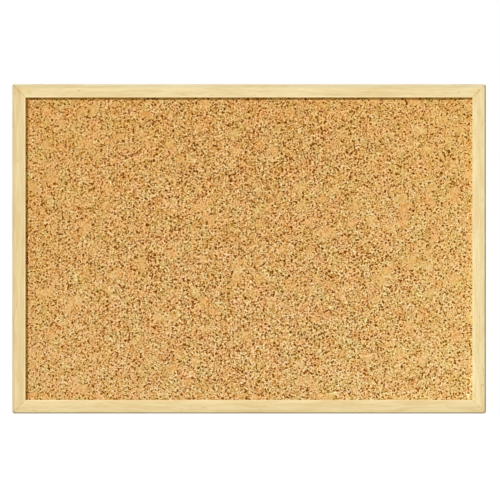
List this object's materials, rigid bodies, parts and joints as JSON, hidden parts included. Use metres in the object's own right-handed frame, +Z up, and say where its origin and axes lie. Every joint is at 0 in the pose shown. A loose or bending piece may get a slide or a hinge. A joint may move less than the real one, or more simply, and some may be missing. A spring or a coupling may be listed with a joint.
{
  "type": "pin badge board",
  "caption": "Flat rectangular cork board in a mitred pale wood frame, hung on a wall by swinging ring hangers, for displaying pin badges.",
  "frame": {"origin": "centre of the frame's back plane, which lies on the wall", "axes": "+X to the right and +Z up as the board is seen from the front, +Y back towards the wall"},
  "size_m": [0.42, 0.015, 0.292],
  "materials": {
    "pale_wood": "sanded, thin satin lacquer",
    "cork": "raw pressed cork granules, matte",
    "fibreboard": "raw soft fibreboard, matte",
    "hardboard": "raw hardboard, smooth and dull",
    "nail_steel": "bare rolled steel",
    "zinc_steel": "bright zinc plate"
  },
  "bodies": {
    "board": {"frame_top": "pale_wood", "frame_right": "pale_wood", "frame_bottom": "pale_wood", "frame_left": "pale_wood", "cork_sheet": "cork", "fibreboard_core": "fibreboard", "hardboard_back": "hardboard", "corner_nail_top_left": "nail_steel", "corner_nail_top_right": "nail_steel", "corner_nail_bottom_left": "nail_steel", "corner_nail_bottom_right": "nail_steel", "panel_point_top_1": "nail_steel", "panel_point_top_2": "nail_steel", "panel_point_top_3": "nail_steel", "panel_point_top_4": "nail_steel", "panel_point_right_1": "nail_steel", "panel_point_right_2": "nail_steel", "panel_point_right_3": "nail_steel", "panel_point_bottom_1": "nail_steel", "panel_point_bottom_2": "nail_steel", "panel_point_bottom_3": "nail_steel", "panel_point_bottom_4": "nail_steel", "panel_point_left_1": "nail_steel", "panel_point_left_2": "nail_steel", "panel_point_left_3": "nail_steel", "hanger_strap_left": "zinc_steel", "hanger_eyelet_left": "zinc_steel", "hanger_strap_right": "zinc_steel", "hanger_eyelet_right": "zinc_steel"},
    "ring_left": {"hanger_ring_left": "zinc_steel"},
    "ring_right": {"hanger_ring_right": "zinc_steel"}
  },
  "joints": [
    {"name": "ring_left_swing", "type": "hinge", "parent": "board", "child": "ring_left", "pos_m": [-0.14, -0.00195, 0.11], "axis": [1, 0, 0], "range_deg": [0, 180]},
    {"name": "ring_right_swing", "type": "hinge", "parent": "board", "child": "ring_right", "pos_m": [0.14, -0.00195, 0.11], "axis": [1, 0, 0], "range_deg": [0, 180]}
  ]
}
